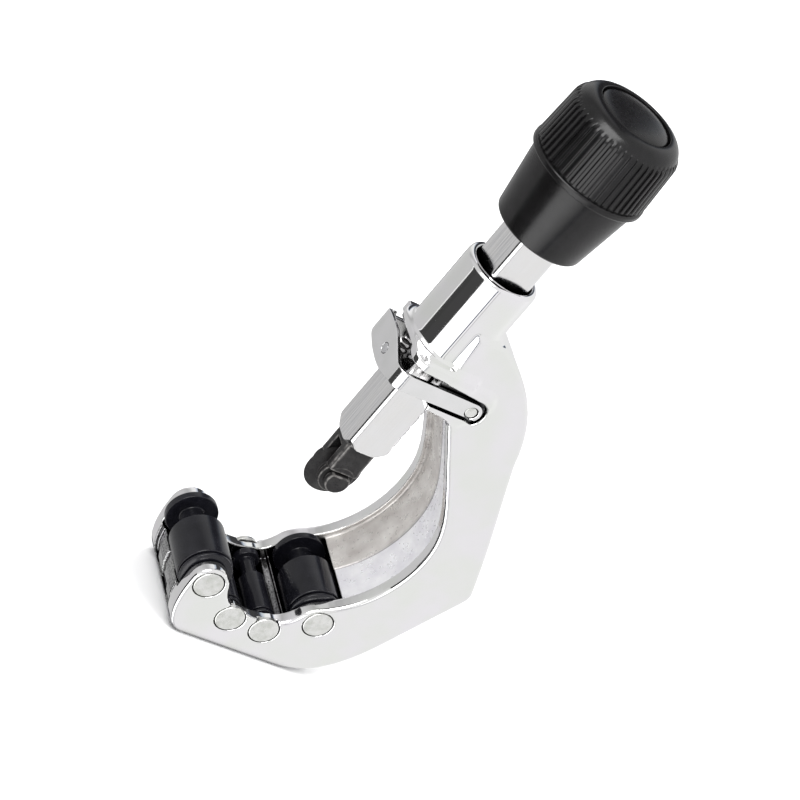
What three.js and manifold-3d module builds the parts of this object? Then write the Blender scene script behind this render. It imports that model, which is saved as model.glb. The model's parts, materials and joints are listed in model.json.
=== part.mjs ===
// A quick-acting tube cutter, in millimetres, +Z up.
// The feed axis is the Z axis and Z = 0 is the frame's flat base. The frame's throat opens towards -X,
// its spine is on +X, and its two cheeks are parallel to the XZ plane, one on each side of Y = 0.
import * as THREE from "three";
import { mergeVertices } from "three/addons/utils/BufferGeometryUtils.js";
import Module from "manifold-3d";

const wasm = await Module();
wasm.setup();

// ---- driving dimensions ----

const clearance = 0.3;

const cheekHalfWidth = 18.3; // outer faces of the two cheeks
const cheekThickness = 4.4;
const bayHalfWidth = cheekHalfWidth - cheekThickness;
const channelDepth = 2.2; // how far the throat floor lies under its polished rims
const spineWall = 6.5; // metal left between the throat and the pockets in the back of the spine

const largeRoller = { x: 20, z: 19.9, radius: 8.4, flange: 8.1, neck: 3.8, shaft: 2.6 };
const smallRoller = { x: 6.2, z: 11, radius: 4.1, flange: 4.1, neck: 2.4, shaft: 1.6 };
const rollerHalfLength = bayHalfWidth - clearance;
const rollerRoom = 0.7; // radial room round each roller in the casting
const pinHead = { radius: 4.6, thickness: 1.4 };

const slideHalf = 7; // the slide is a square bar
const slideBottom = 75.3;
const slideTop = 181;
const slideBevel = 0.9;
const slideBoreHalf = 5.5;
const rackPitch = 4.7;
const rackFirst = 76.4; // height of the lowest rack groove
const rackCount = 15;
const rackDepth = 1;
const pawlBite = 0.35; // how far the pawl's tip stands in a rack groove

const collarRadius = 12;
const collarFlat = 11.1; // the collar is flattened on both cheek sides
const collarTop = 147;
const collarBore = 9.65;
const flangeBottom = 116.2;
const flangeTop = 118.4;

const latchPivot = { x: 14.2, z: 106.9 };
const latchArmOuter = 14;
const latchSheet = 1.6;
const latchPlateX = -14.3;
const latchPinRadius = 1.85;
const pawlGroove = rackFirst + 8 * rackPitch; // the rack groove that the pawl rests in

const wheelAxle = 61.9; // height of the cutter wheel's axis
const wheelRadius = 8.9;
const wheelPinRadius = 2;
const forkHalf = 5.2;
const forkSlot = 2.1; // half width of the slot between the prongs
const prongStep = 3.9; // the front prong is thinned to this below its pad
const forkTop = 118;
const screwRadius = 4;
const screwBottom = 92;

const skirtBottom = 162.8;
const skirtBottomRadius = 14.4;
const skirtTopRadius = 17.5;
const skirtInner = 12.6;
const gripBottom = 185.5;
const gripTop = 208.5;
const gripRingRadius = 19;
const ribCount = 52;
const ribRoot = 18.1; // at the foot of the grip, which narrows upwards
const ribHeight = 0.65;
const ribTop = 202.8;
const gripTaper = 0.961; // the grip's radius at the top of the ribs over that at their foot
const capRadius = 11.4;
const capTop = 209.5;
const spareWheelHeight = 198.7;

// ---- solids: three.js shapes in, manifold-3d booleans between them ----

function solid(geometry) {
  const positions = geometry.clone();
  positions.deleteAttribute("normal");
  positions.deleteAttribute("uv");
  const merged = mergeVertices(positions, 1e-4);
  const source = merged.index.array;
  const triangles = [];
  for (let i = 0; i < source.length; i += 3) {
    const [a, b, c] = [source[i], source[i + 1], source[i + 2]];
    if (a !== b && b !== c && c !== a) triangles.push(a, b, c);
  }
  const build = (order) =>
    new wasm.Manifold(
      new wasm.Mesh({
        numProp: 3,
        vertProperties: new Float32Array(merged.attributes.position.array),
        triVerts: new Uint32Array(order),
      }),
    );
  const made = build(triangles);
  return made.volume() < 0 ? build(triangles.reverse()) : made;
}

function join(...solids) {
  return solids.reduce((whole, next) => whole.add(next));
}

function cut(whole, ...tools) {
  return tools.reduce((rest, tool) => rest.subtract(tool), whole);
}

function geometryOf(manifold) {
  const { vertProperties, triVerts, numProp } = manifold.getMesh();
  const positions = new Float32Array((vertProperties.length / numProp) * 3);
  for (let i = 0; i < positions.length / 3; i++) {
    positions.set(vertProperties.subarray(i * numProp, i * numProp + 3), i * 3);
  }
  const geometry = new THREE.BufferGeometry();
  geometry.setAttribute("position", new THREE.BufferAttribute(positions, 3));
  geometry.setIndex(new THREE.BufferAttribute(new Uint32Array(triVerts), 1));
  const flat = geometry.toNonIndexed();
  flat.computeVertexNormals();
  return flat;
}

function outline(...points) {
  const shape = new THREE.Shape();
  points.forEach(([x, y], i) => (i ? shape.lineTo(x, y) : shape.moveTo(x, y)));
  shape.closePath();
  return shape;
}

function extruded(shape, depth, curveSegments = 10) {
  return new THREE.ExtrudeGeometry(shape, { depth, curveSegments, bevelEnabled: false });
}

// A prism along Y whose outline is drawn in (x, z).
function prismY(shape, yLow, yHigh, curveSegments) {
  const geometry = extruded(shape, yHigh - yLow, curveSegments);
  geometry.rotateX(Math.PI / 2);
  geometry.translate(0, yHigh, 0);
  return solid(geometry);
}

// A prism along X whose outline is drawn in (y, z).
function prismX(shape, xLow, xHigh, curveSegments) {
  const geometry = extruded(shape, xHigh - xLow, curveSegments);
  const turn = new THREE.Matrix4().makeBasis(
    new THREE.Vector3(0, 1, 0),
    new THREE.Vector3(0, 0, 1),
    new THREE.Vector3(1, 0, 0),
  );
  geometry.applyMatrix4(turn);
  geometry.translate(xLow, 0, 0);
  return solid(geometry);
}

// A prism along Z whose outline is drawn in (x, y).
function prismZ(shape, zLow, zHigh, curveSegments) {
  const geometry = extruded(shape, zHigh - zLow, curveSegments);
  geometry.translate(0, 0, zLow);
  return solid(geometry);
}

// A prism along Z that narrows to a share of its width at the top.
function taperedZ(shape, zLow, zHigh, share) {
  const geometry = extruded(shape, zHigh - zLow);
  const corners = geometry.attributes.position;
  for (let i = 0; i < corners.count; i++) {
    const width = corners.getZ(i) > 0 ? share : 1;
    corners.setXY(i, corners.getX(i) * width, corners.getY(i) * width);
  }
  geometry.translate(0, 0, zLow);
  return solid(geometry);
}

function box(xLow, xHigh, yLow, yHigh, zLow, zHigh) {
  const geometry = new THREE.BoxGeometry(xHigh - xLow, yHigh - yLow, zHigh - zLow);
  geometry.translate((xLow + xHigh) / 2, (yLow + yHigh) / 2, (zLow + zHigh) / 2);
  return solid(geometry);
}

// A turned solid about the Z axis, from (radius, height) points.
function turnedZ(profile, segments = 32) {
  const points = profile.map(([r, z]) => new THREE.Vector2(r, z));
  const geometry = new THREE.LatheGeometry(points, segments);
  geometry.rotateX(Math.PI / 2);
  return solid(geometry);
}

// A turned solid about the Y axis, from (radius, y) points.
function turnedY(profile, segments = 28) {
  const points = profile.map(([r, y]) => new THREE.Vector2(r, y));
  return solid(new THREE.LatheGeometry(points, segments));
}

function rodZ(radius, zLow, zHigh, segments = 32) {
  return turnedZ([[0, zLow], [radius, zLow], [radius, zHigh], [0, zHigh]], segments);
}

function rodY(radius, yLow, yHigh, x = 0, z = 0, segments = 28) {
  const rod = turnedY([[0, yLow], [radius, yLow], [radius, yHigh], [0, yHigh]], segments);
  return rod.translate([x, 0, z]);
}

function ringZ(inner, outer, zLow, zHigh, segments = 32) {
  return turnedZ(
    [[inner, zLow], [outer, zLow], [outer, zHigh], [inner, zHigh], [inner, zLow]],
    segments,
  );
}

function roundedRectangle(xLow, xHigh, yLow, yHigh, radius) {
  const shape = new THREE.Shape();
  shape.moveTo(xLow + radius, yLow);
  shape.lineTo(xHigh - radius, yLow);
  shape.absarc(xHigh - radius, yLow + radius, radius, -Math.PI / 2, 0);
  shape.lineTo(xHigh, yHigh - radius);
  shape.absarc(xHigh - radius, yHigh - radius, radius, 0, Math.PI / 2);
  shape.lineTo(xLow + radius, yHigh);
  shape.absarc(xLow + radius, yHigh - radius, radius, Math.PI / 2, Math.PI);
  shape.lineTo(xLow, yLow + radius);
  shape.absarc(xLow + radius, yLow + radius, radius, Math.PI, 1.5 * Math.PI);
  return shape;
}

// A square bar along Z with bevelled corners.
function bevelledSquare(half, bevel) {
  const flat = half - bevel;
  return outline(
    [-flat, -half], [flat, -half], [half, -flat], [half, flat],
    [flat, half], [-flat, half], [-half, flat], [-half, -flat],
  );
}

// ---- frame ----

// The throat from its upper corner down to the roller cradle, moved into the metal by an offset.
function drawThroat(shape, offset) {
  shape.lineTo(22.9 + 0.83 * offset, 82.3 + 0.56 * offset);
  shape.bezierCurveTo(
    29.5 + 0.87 * offset, 72.5 + 0.5 * offset,
    34.1 + offset, 66,
    34.1 + offset, 54.8,
  );
  shape.bezierCurveTo(
    34.1 + offset, 41.5,
    27 + 0.7 * offset, 30.2 - 0.7 * offset,
    17.7 + 0.46 * offset, 25.4 - 0.89 * offset,
  );
}

function frameSide() {
  const shape = new THREE.Shape();
  shape.moveTo(-17.5, 0);
  shape.lineTo(18, 0);
  shape.quadraticCurveTo(33.4, 0, 44, 21.7);
  shape.lineTo(55.9, 45.5);
  shape.quadraticCurveTo(57.3, 48.3, 56.6, 50);
  shape.lineTo(38.8, 96);
  shape.quadraticCurveTo(33.5, 118.5, 11, 129.5);
  shape.lineTo(0.8, 129.5);
  shape.lineTo(0.8, 103.6);
  shape.lineTo(4.5, 103.4);
  shape.quadraticCurveTo(9.2, 102.6, 11.8, 98.4);
  drawThroat(shape, 0);
  // The cradle dips between the rollers, the same on both sides of the feed axis.
  shape.quadraticCurveTo(14.4, 23.6, 13.2, 21);
  shape.quadraticCurveTo(10.6, 15.2, 6.5, 15);
  shape.quadraticCurveTo(3, 13.8, 0, 13.8);
  shape.quadraticCurveTo(-3, 13.8, -6.5, 15);
  shape.quadraticCurveTo(-10.6, 15.2, -13.2, 21);
  shape.quadraticCurveTo(-13.9, 23, -15.8, 24.3);
  shape.absarc(-largeRoller.x, largeRoller.z, 6.1, 0.81, Math.PI);
  shape.quadraticCurveTo(-26.1, 9, -22.6, 3.6);
  shape.quadraticCurveTo(-20.3, 0, -17.5, 0);
  return shape;
}

// The frame across its width: full at the rollers, drawn in towards the collar.
function frameWidth(inset) {
  const side = [
    [cheekHalfWidth, -1], [cheekHalfWidth, 58], [17.8, 68], [16.6, 78],
    [15.2, 90], [14, 104], [13, 116], [11.8, 128], [collarFlat, 136],
  ].map(([y, z]) => [y - inset, z]);
  return outline(...side, ...side.map(([y, z]) => [-y, z]).reverse());
}

// The flange above the latch, seen from above.
function flangePlan() {
  const shape = new THREE.Shape();
  shape.moveTo(9, -14.2);
  shape.lineTo(9, 11.8);
  shape.lineTo(-5.8, 11.8);
  shape.absarc(-5.8, 4.8, 7, Math.PI / 2, Math.PI);
  shape.lineTo(-12.8, -9.7);
  shape.absarc(-8.3, -9.7, 4.5, Math.PI, 1.5 * Math.PI);
  return shape;
}

// The flange seen along X. It droops towards the near latch arm.
function flangeFront() {
  return outline(
    [-14.2, 114.1], [-10.6, 114.4], [-3, flangeBottom], [14, flangeBottom],
    [14, flangeTop], [-7, flangeTop], [-14.2, 116.4],
  );
}

function collar() {
  const lip = 2.2;
  const profile = [[0, flangeBottom], [15.2, flangeBottom], [15.2, flangeTop]];
  const flare = 5;
  for (let i = 1; i <= flare; i++) {
    const turn = (i / flare) * (Math.PI / 2);
    profile.push([15.2 - 3.2 * Math.sin(turn), flangeTop + 3.4 * (1 - Math.cos(turn))]);
  }
  for (let i = 0; i <= 4; i++) {
    const turn = (i / 4) * (Math.PI / 2);
    profile.push([collarRadius - lip * (1 - Math.cos(turn)), collarTop - lip * (1 - Math.sin(turn))]);
  }
  profile.push([0, collarTop]);
  const turned = turnedZ(profile, 36);
  const tube = turned.intersect(box(-20, 20, -collarFlat, collarFlat, 110, 150));
  const plan = flangePlan();
  const flange = prismZ(plan, 112, 120, 5).intersect(prismX(flangeFront(), -20, 20));
  const foot = turned.intersect(prismZ(plan, flangeBottom, flangeTop + 3.4, 5));
  return join(tube, flange, foot);
}

// The block on each side that the latch arm swings under, with a low pad round the pivot.
function latchIsland() {
  const shape = new THREE.Shape();
  shape.moveTo(0.8, 102);
  shape.lineTo(13, 101);
  shape.lineTo(17, 105.6);
  shape.absarc(14.4, 110.7, 4.5, -0.5, Math.PI / 2);
  shape.lineTo(5.7, 115.1);
  shape.lineTo(0.7, 116.6);
  shape.lineTo(-5.7, 117.4);
  shape.lineTo(-9, 117.4);
  shape.lineTo(-9, 112.8);
  shape.lineTo(0.8, 112.8);
  return prismY(shape, -14.2, 14.2, 6);
}

// The recess that each latch arm swings in, deeper above the arm than below it.
function latchRecess() {
  const shape = new THREE.Shape();
  shape.moveTo(-20, 102.8);
  shape.lineTo(latchPivot.x, 102.8);
  shape.absarc(latchPivot.x, latchPivot.z, 4.6, -Math.PI / 2, 1.35);
  shape.lineTo(-12, 114);
  shape.lineTo(-20, 114);
  return shape;
}

// The cradle between the cheeks, cut down so that the rollers stand in an open bay.
function cradleBay() {
  return outline([-16, 32], [-12.6, 13], [-3, 8.5], [3, 8.5], [12.6, 13], [16, 32]);
}

// The recess in the nose between the cheeks, moved into the metal by an offset.
function noseRecess(offset) {
  const depth = 1.6 + offset;
  return outline(
    [-32, 1.5], [-20.6 + depth, 1.5], [-22.6 + depth, 3.6], [-24.2 + depth, 6.9],
    [-25.2 + depth, 11], [-25.6 + depth, 14], [-32, 14],
  );
}

function frameBody() {
  const solidSide = prismY(frameSide(), -cheekHalfWidth, cheekHalfWidth, 12);
  let body = solidSide.intersect(prismX(frameWidth(0), -40, 70));
  body = join(body, latchIsland(), collar());

  const channel = new THREE.Shape();
  channel.moveTo(5, 104.2);
  channel.lineTo(7.6, 104);
  channel.quadraticCurveTo(11.4, 103, 11.8 + 0.83 * channelDepth, 98.4 + 0.56 * channelDepth);
  drawThroat(channel, channelDepth);
  channel.lineTo(5, 40);
  body = cut(body, prismY(channel, -20, 20, 12).intersect(prismX(frameWidth(cheekThickness), -10, 50)));

  for (const { x, z, radius } of [largeRoller, smallRoller]) {
    for (const side of [-1, 1]) {
      body = cut(body, rodY(radius + rollerRoom, -bayHalfWidth, bayHalfWidth, side * x, z, 28));
    }
  }

  body = cut(body, prismY(cradleBay(), -bayHalfWidth, bayHalfWidth));
  // Two low bands are left standing in the nose recess.
  let nose = prismY(noseRecess(0), -12.6, 12.6);
  for (const [yLow, yHigh] of [[-10, -5], [3, 9]]) {
    nose = cut(nose, cut(prismY(noseRecess(1), yLow, yHigh), prismY(noseRecess(-0.8), yLow - 1, yHigh + 1)));
  }
  body = cut(body, nose);

  // Open pockets in the back of the spine leave walls to the throat and to the last roller's bay.
  const bayWall = largeRoller.x + largeRoller.radius + rollerRoom + 4.5;
  const pocket = new THREE.Shape();
  pocket.moveTo(31, 88);
  pocket.lineTo(22.9 + 0.83 * spineWall, 82.3 + 0.56 * spineWall);
  pocket.bezierCurveTo(
    29.5 + 0.87 * spineWall, 72.5 + 0.5 * spineWall,
    34.1 + spineWall, 66,
    34.1 + spineWall, 54.8,
  );
  pocket.quadraticCurveTo(34.1 + spineWall, 38, bayWall, 30);
  pocket.lineTo(bayWall, 10);
  pocket.lineTo(75, 10);
  pocket.lineTo(75, 50);
  pocket.lineTo(50, 88);
  const pockets = prismY(pocket, -20, 20, 8).intersect(prismX(frameWidth(cheekThickness), 20, 80));
  const spineRibs = [34, 54, 72].map((z) => box(20, 80, -20, 20, z - 1.2, z + 1.2));
  body = cut(body, cut(pockets, ...spineRibs));

  // The slide and the pawl share a bay between the cheeks.
  const bay = outline(
    [-13, 96], [8, 96], [9.4, 102.3], [20.5, 102.3], [20.5, 113],
    [14, 119], [-2, 119], [-2, flangeBottom], [-13, flangeBottom],
  );
  body = cut(body, prismY(bay, -7.5, 7.5));
  body = cut(body, rodZ(collarBore, 110, 150, 32));
  body = cut(body, prismY(latchRecess(), -20, -(latchArmOuter - latchSheet - 0.25), 6));
  body = cut(body, prismY(latchRecess(), latchArmOuter - latchSheet - 0.25, 20, 6));
  body = cut(body, rodY(latchPinRadius + clearance, -20, 20, latchPivot.x, latchPivot.z, 20));

  for (const { x, z, shaft } of [largeRoller, smallRoller]) {
    for (const side of [-1, 1]) {
      const seat = cheekHalfWidth - pinHead.thickness - clearance;
      body = cut(
        body,
        rodY(shaft + clearance, -20, 20, side * x, z, 16),
        rodY(pinHead.radius + clearance, seat, 20, side * x, z, 20),
        rodY(pinHead.radius + clearance, -20, -seat, side * x, z, 20),
      );
    }
  }
  return body;
}

// ---- rollers and their rivet pins ----

// Each roller has a wide neck near its rear flange and a narrow groove near its front one.
function roller({ radius, flange, neck, shaft }) {
  const bore = shaft + clearance;
  const end = rollerHalfLength;
  const groove = radius - 1.2;
  const profile = [
    [bore, -end], [flange, -end], [flange, -end + 0.9], [groove, -end + 0.9],
    [groove, -end + 1.6], [radius, -end + 1.6], [radius, 3.4], [neck, 3.4],
    [neck, 11.3], [flange, 11.3], [flange, end], [bore, end], [bore, -end],
  ];
  return turnedY(profile, 20);
}

function rollerPin({ shaft }) {
  const face = cheekHalfWidth;
  const under = face - pinHead.thickness;
  const profile = [
    [0, -face], [pinHead.radius, -face], [pinHead.radius, -under], [shaft, -under],
    [shaft, under], [pinHead.radius, under], [pinHead.radius, face], [0, face],
  ];
  return turnedY(profile, 20);
}

// ---- slide ----

function slideBar() {
  let bar = prismZ(bevelledSquare(slideHalf, slideBevel), slideBottom, slideTop);
  // The lower end is turned, so each flat ends in a curve.
  const turned = [
    [0, slideBottom], [7.4, slideBottom], [9.9, slideBottom + 3.4], [9.9, slideTop], [0, slideTop],
  ];
  bar = bar.intersect(turnedZ(turned, 40));
  for (let i = 0; i < rackCount; i++) {
    const z = rackFirst + i * rackPitch;
    const groove = outline(
      [slideHalf - rackDepth, z - 0.25], [slideHalf + 1, z - 2], [slideHalf + 1, z + 0.75],
    );
    bar = cut(bar, prismY(groove, -10, 10));
  }
  bar = cut(bar, prismZ(bevelledSquare(slideBoreHalf, 0.6), slideBottom - 1, 165));
  return cut(bar, rodZ(6.2, 160, slideTop + 1, 32));
}

// ---- feed screw, its bush and rings ----

function feedScrew() {
  const journal = 4.5;
  const groove = 3.9;
  return turnedZ([
    [0, screwBottom], [screwRadius - 0.8, screwBottom], [screwRadius, screwBottom + 0.8],
    [screwRadius, 162], [journal, 162], [journal, 164], [groove, 164], [groove, 165.6], [journal, 165.6],
    [journal, 182.7], [7, 182.7], [7, 185.2], [5, 185.2], [5, 186.7], [3, 186.7], [3, 196.3], [0, 196.3],
  ], 24);
}

function slideEndBush() {
  return turnedZ([
    [4.8, 166], [5.9, 166], [5.9, slideTop + clearance], [7.6, slideTop + clearance],
    [7.6, slideTop + 1.1], [4.8, slideTop + 1.1], [4.8, 166],
  ], 24);
}

function retainingRing() {
  const ring = ringZ(4.2, slideBoreHalf - clearance, 164.3, 165.3, 24);
  return cut(ring, box(0, 8, -1.2, 1.2, 160, 168));
}

function knobNut() {
  const shape = new THREE.Shape();
  for (let i = 0; i < 6; i++) {
    const angle = (i * Math.PI) / 3;
    const [x, y] = [5.6 * Math.cos(angle), 5.6 * Math.sin(angle)];
    if (i) shape.lineTo(x, y);
    else shape.moveTo(x, y);
  }
  shape.closePath();
  return cut(prismZ(shape, 192.5, 196.3), rodZ(3 + clearance, 190, 198, 24));
}

// ---- knob ----

function knobSleeve() {
  const profile = [
    [skirtInner, skirtBottom + 0.6], [skirtInner + 0.6, skirtBottom], [skirtBottomRadius - 0.6, skirtBottom],
    [skirtBottomRadius, skirtBottom + 0.6], [skirtTopRadius, gripBottom - clearance],
    [15.6, gripBottom - clearance], [15.6, 193], [13.4, 193], [13.4, 191], [3.3, 191],
    [3.3, 187], [skirtInner, 187], [skirtInner, skirtBottom + 0.6],
  ];
  return turnedZ(profile, 36);
}

function knobGrip() {
  const inner = 15.9;
  const ribFoot = gripBottom + 2.4;
  const rootTop = ribRoot * gripTaper;
  const mouth = capRadius + 0.5;
  const profile = [
    [inner, gripBottom], [gripRingRadius - 0.4, gripBottom], [gripRingRadius, gripBottom + 0.4],
    [gripRingRadius, gripBottom + 1.9], [ribRoot, ribFoot], [rootTop, ribTop],
  ];
  const shoulder = 5;
  for (let i = 1; i <= shoulder; i++) {
    const turn = (i / shoulder) * (Math.PI / 2);
    profile.push([
      rootTop - (rootTop - mouth - 0.4) * (1 - Math.cos(turn)), ribTop + (gripTop - ribTop) * Math.sin(turn),
    ]);
  }
  profile.push([mouth, gripTop], [mouth, 203.4], [10.4, 203.4], [10.4, 201.6]);
  profile.push([inner - 1.2, 201.6], [inner, 199], [inner, gripBottom]);
  const drum = turnedZ(profile, 40);

  const ribs = new THREE.Shape();
  const step = (2 * Math.PI) / ribCount;
  for (let i = 0; i < ribCount; i++) {
    const [foot, crest] = [ribRoot - 0.2, ribRoot + ribHeight];
    [[-0.34, foot], [-0.16, crest], [0.16, crest], [0.34, foot]].forEach(([share, r], k) => {
      const angle = (i + share) * step;
      const [x, y] = [r * Math.cos(angle), r * Math.sin(angle)];
      if (i + k) ribs.lineTo(x, y);
      else ribs.moveTo(x, y);
    });
  }
  ribs.closePath();
  // The ribs run a little way up the shoulder and are sloped off into it.
  const end = ribTop + 2.2;
  const crestTop = rootTop + ribHeight;
  const slope = turnedZ(
    [[0, gripBottom], [20, gripBottom], [crestTop + 0.7, ribTop - 0.6], [crestTop - 1.3, end], [0, end]], 40,
  );
  const hollow = turnedZ([[0, gripBottom], [17, gripBottom], [15.6, end + 1], [0, end + 1]], 24);
  const band = taperedZ(ribs, gripBottom + 1.8, end, gripTaper * 0.995);
  return join(drum, cut(band.intersect(slope), hollow));
}

function knobCap() {
  const dome = 4;
  const profile = [[0, 201.9], [10.1, 201.9], [10.1, 203.7], [capRadius, 203.7], [capRadius, 207.6]];
  for (let i = 1; i <= dome; i++) {
    const turn = (i / dome) * (Math.PI / 2);
    profile.push([capRadius * Math.cos(turn), 207.6 + (capTop - 207.6) * Math.sin(turn)]);
  }
  return turnedZ(profile, 32);
}

// ---- cutter fork, wheel and wheel pin ----

function cutterFork() {
  const shank = prismZ(bevelledSquare(forkHalf, 0.7), wheelAxle + 3, forkTop);
  const end = rodY(forkHalf + 0.2, -forkHalf, forkHalf, 0, wheelAxle, 32);
  let fork = join(shank, end);
  fork = cut(fork, box(-12, 12, -forkSlot, forkSlot, 40, wheelAxle + wheelRadius + 1.7));
  // The front prong is stepped down below its pad, and the pin's flat faces the step.
  fork = cut(fork, box(-12, 12, -8, -prongStep, 40, wheelAxle + 3.1));
  fork = cut(fork, rodY(wheelPinRadius + clearance, -10, 10, 0, wheelAxle, 20));
  return cut(fork, rodZ(screwRadius + clearance, 84, forkTop + 1, 28));
}

// The cutting wheel's profile, the same for the one in use and the spare.
function wheelProfile() {
  const bore = wheelPinRadius + clearance;
  const hub = forkSlot - clearance;
  return [
    [bore, -hub], [4.6, -hub], [5, -0.9], [wheelRadius, 0],
    [5, 0.9], [4.6, hub], [bore, hub], [bore, -hub],
  ];
}

function cutterWheel() {
  return turnedY(wheelProfile(), 36);
}

function spareCutterWheel() {
  return turnedZ(wheelProfile(), 28);
}

function wheelPin() {
  const under = -prongStep - 0.2;
  const head = rodY(3.8, under - 2.2, under);
  const flatted = head.intersect(box(-8, 8, -8, 0, -8, 2.5));
  return join(flatted, rodY(wheelPinRadius, under - 0.2, 7.2, 0, 0, 20));
}

function wheelPinClip() {
  const ring = turnedY([[2.3, 5.6], [3.8, 5.6], [3.8, 6.4], [2.3, 6.4], [2.3, 5.6]], 20);
  return cut(ring, box(-1, 1, 5, 7, 0, 6));
}

// ---- latch ----

function latchSide() {
  const shape = new THREE.Shape();
  shape.moveTo(-16, 101);
  shape.lineTo(-10.5, 101);
  shape.lineTo(-9.5, 104.8);
  shape.lineTo(latchPivot.x, latchPivot.z - 3.4);
  shape.absarc(latchPivot.x, latchPivot.z, 3.4, -Math.PI / 2, 1.45);
  shape.lineTo(-9.5, 110.8);
  shape.lineTo(-10.5, 114);
  shape.lineTo(-16, 114);
  return shape;
}

// The bail seen along X. The thumb plate is fuller and higher on its far side.
function latchFront() {
  const shape = new THREE.Shape();
  shape.moveTo(-15, 104.8);
  shape.lineTo(-9.4, 104.5);
  shape.bezierCurveTo(-5.5, 102.5, 0, 102, 5.5, 102.9);
  shape.quadraticCurveTo(9.5, 103.7, 12.4, 105);
  shape.lineTo(15, 105);
  shape.lineTo(15, 110.9);
  shape.lineTo(12.6, 112.9);
  shape.bezierCurveTo(9, 114.5, 3.5, 114.6, -1, 113.1);
  shape.quadraticCurveTo(-5, 111.8, -9, 110.6);
  shape.lineTo(-15, 110.8);
  return shape;
}

function latchBail() {
  const innerY = latchArmOuter - latchSheet;
  const outer = roundedRectangle(latchPlateX, 40, -latchArmOuter, latchArmOuter, 4.2);
  const inner = roundedRectangle(latchPlateX + latchSheet, 60, -innerY, innerY, 4.2 - latchSheet);
  const strip = cut(prismZ(outer, 98, 116, 5), prismZ(inner, 97, 117, 5));
  const side = strip.intersect(prismY(latchSide(), -20, 20, 8)).intersect(prismX(latchFront(), -20, 30, 8));
  const bored = cut(side, rodY(latchPinRadius + clearance, -20, 20, latchPivot.x, latchPivot.z, 20));
  return cut(bored, prismX(circleOutline(0, 107.6, 1.9, 16), -16, -12));
}

function circleOutline(x, y, radius, segments) {
  const points = [];
  for (let i = 0; i < segments; i++) {
    const angle = (2 * Math.PI * i) / segments;
    points.push([x + radius * Math.cos(angle), y + radius * Math.sin(angle)]);
  }
  return outline(...points);
}

// The bracket riveted inside the latch plate, which the spring stands on.
function springBracket() {
  const back = latchPlateX + latchSheet + clearance;
  const upright = box(back, back + 0.8, -3, 3, 104.2, 109.8);
  const shelf = box(back, -7.9, -3, 3, 104.2, 105);
  const rivet = prismX(circleOutline(0, 107.6, 1.6, 16), latchPlateX, back + 0.4);
  return join(upright, shelf, rivet);
}

function latchSpring() {
  const [low, high] = [105.7, 115.3];
  const turns = 5;
  const radius = 1.6;
  const centreX = -9.6;
  class Coil extends THREE.Curve {
    getPoint(t, target = new THREE.Vector3()) {
      const angle = 2 * Math.PI * turns * t;
      return target.set(
        centreX + radius * Math.cos(angle), radius * Math.sin(angle), low + (high - low) * t,
      );
    }
  }
  const wire = new THREE.Shape();
  wire.absarc(0, 0, 0.35, 0, 2 * Math.PI);
  const path = new Coil();
  return solid(
    new THREE.ExtrudeGeometry(wire, { steps: turns * 10, extrudePath: path, curveSegments: 3 }),
  );
}

function latchPin() {
  const end = latchArmOuter - 0.3;
  return rodY(latchPinRadius, -end, end, 0, 0, 20);
}

// The pawl between the cheeks: its tooth rests in a rack groove above the pivot.
function latchPawl() {
  const tip = slideHalf - pawlBite;
  const shape = new THREE.Shape();
  shape.moveTo(latchPivot.x, latchPivot.z - 4.2);
  shape.absarc(latchPivot.x, latchPivot.z, 4.2, -Math.PI / 2, 0.6);
  shape.lineTo(14.5, 113.6);
  shape.lineTo(12, pawlGroove + 1.4);
  shape.lineTo(slideHalf + 0.5, pawlGroove - 0.1);
  shape.lineTo(tip, pawlGroove - 0.45);
  shape.lineTo(slideHalf + 0.5, pawlGroove - 1.6);
  shape.lineTo(9.6, 107);
  shape.lineTo(10.4, 104.6);
  const body = prismY(shape, -6.6, 6.6, 8);
  return cut(body, rodY(latchPinRadius + clearance, -20, 20, latchPivot.x, latchPivot.z, 20));
}

// ---- the assembly ----

const finishes = {
  chrome: { color: 0xd9dadc, roughness: 0.12, metalness: 1 },
  steel: { color: 0xa9abad, roughness: 0.35, metalness: 1 },
  rivet: { color: 0xc6c7c4, roughness: 0.42, metalness: 1 },
  blackOxide: { color: 0x2b2928, roughness: 0.38, metalness: 0.8 },
  blackPlastic: { color: 0x1b1b1d, roughness: 0.42, metalness: 0 },
  capPlastic: { color: 0x161617, roughness: 0.22, metalness: 0 },
  bronze: { color: 0xa9824a, roughness: 0.4, metalness: 1 },
  spring: { color: 0x8f9194, roughness: 0.3, metalness: 1 },
};

function part(name, manifold, finish, [x, y, z] = [0, 0, 0]) {
  const mesh = new THREE.Mesh(geometryOf(manifold), new THREE.MeshStandardMaterial(finishes[finish]));
  mesh.name = name;
  mesh.position.set(x, y, z);
  return mesh;
}

const frame = new THREE.Group();
frame.add(part("frame", frameBody(), "chrome"));

const rollerStations = [
  ["nose_outer", largeRoller, -1],
  ["nose_inner", smallRoller, -1],
  ["spine_inner", smallRoller, 1],
  ["spine_outer", largeRoller, 1],
];
for (const [station, size, side] of rollerStations) {
  const axis = [side * size.x, 0, size.z];
  frame.add(part(`roller_${station}`, roller(size), "blackOxide", axis));
  frame.add(part(`roller_pin_${station}`, rollerPin(size), "rivet", axis));
}

const latch = new THREE.Group();
latch.add(part("latch_bail", latchBail(), "chrome"));
latch.add(part("latch_pin", latchPin(), "rivet", [latchPivot.x, 0, latchPivot.z]));
latch.add(part("latch_pawl", latchPawl(), "blackOxide"));
latch.add(part("latch_spring_bracket", springBracket(), "steel"));
frame.add(latch, part("latch_spring", latchSpring(), "spring"));

const slide = new THREE.Group();
slide.add(part("slide_bar", slideBar(), "steel"));
slide.add(part("slide_end_bush", slideEndBush(), "bronze"));

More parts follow.
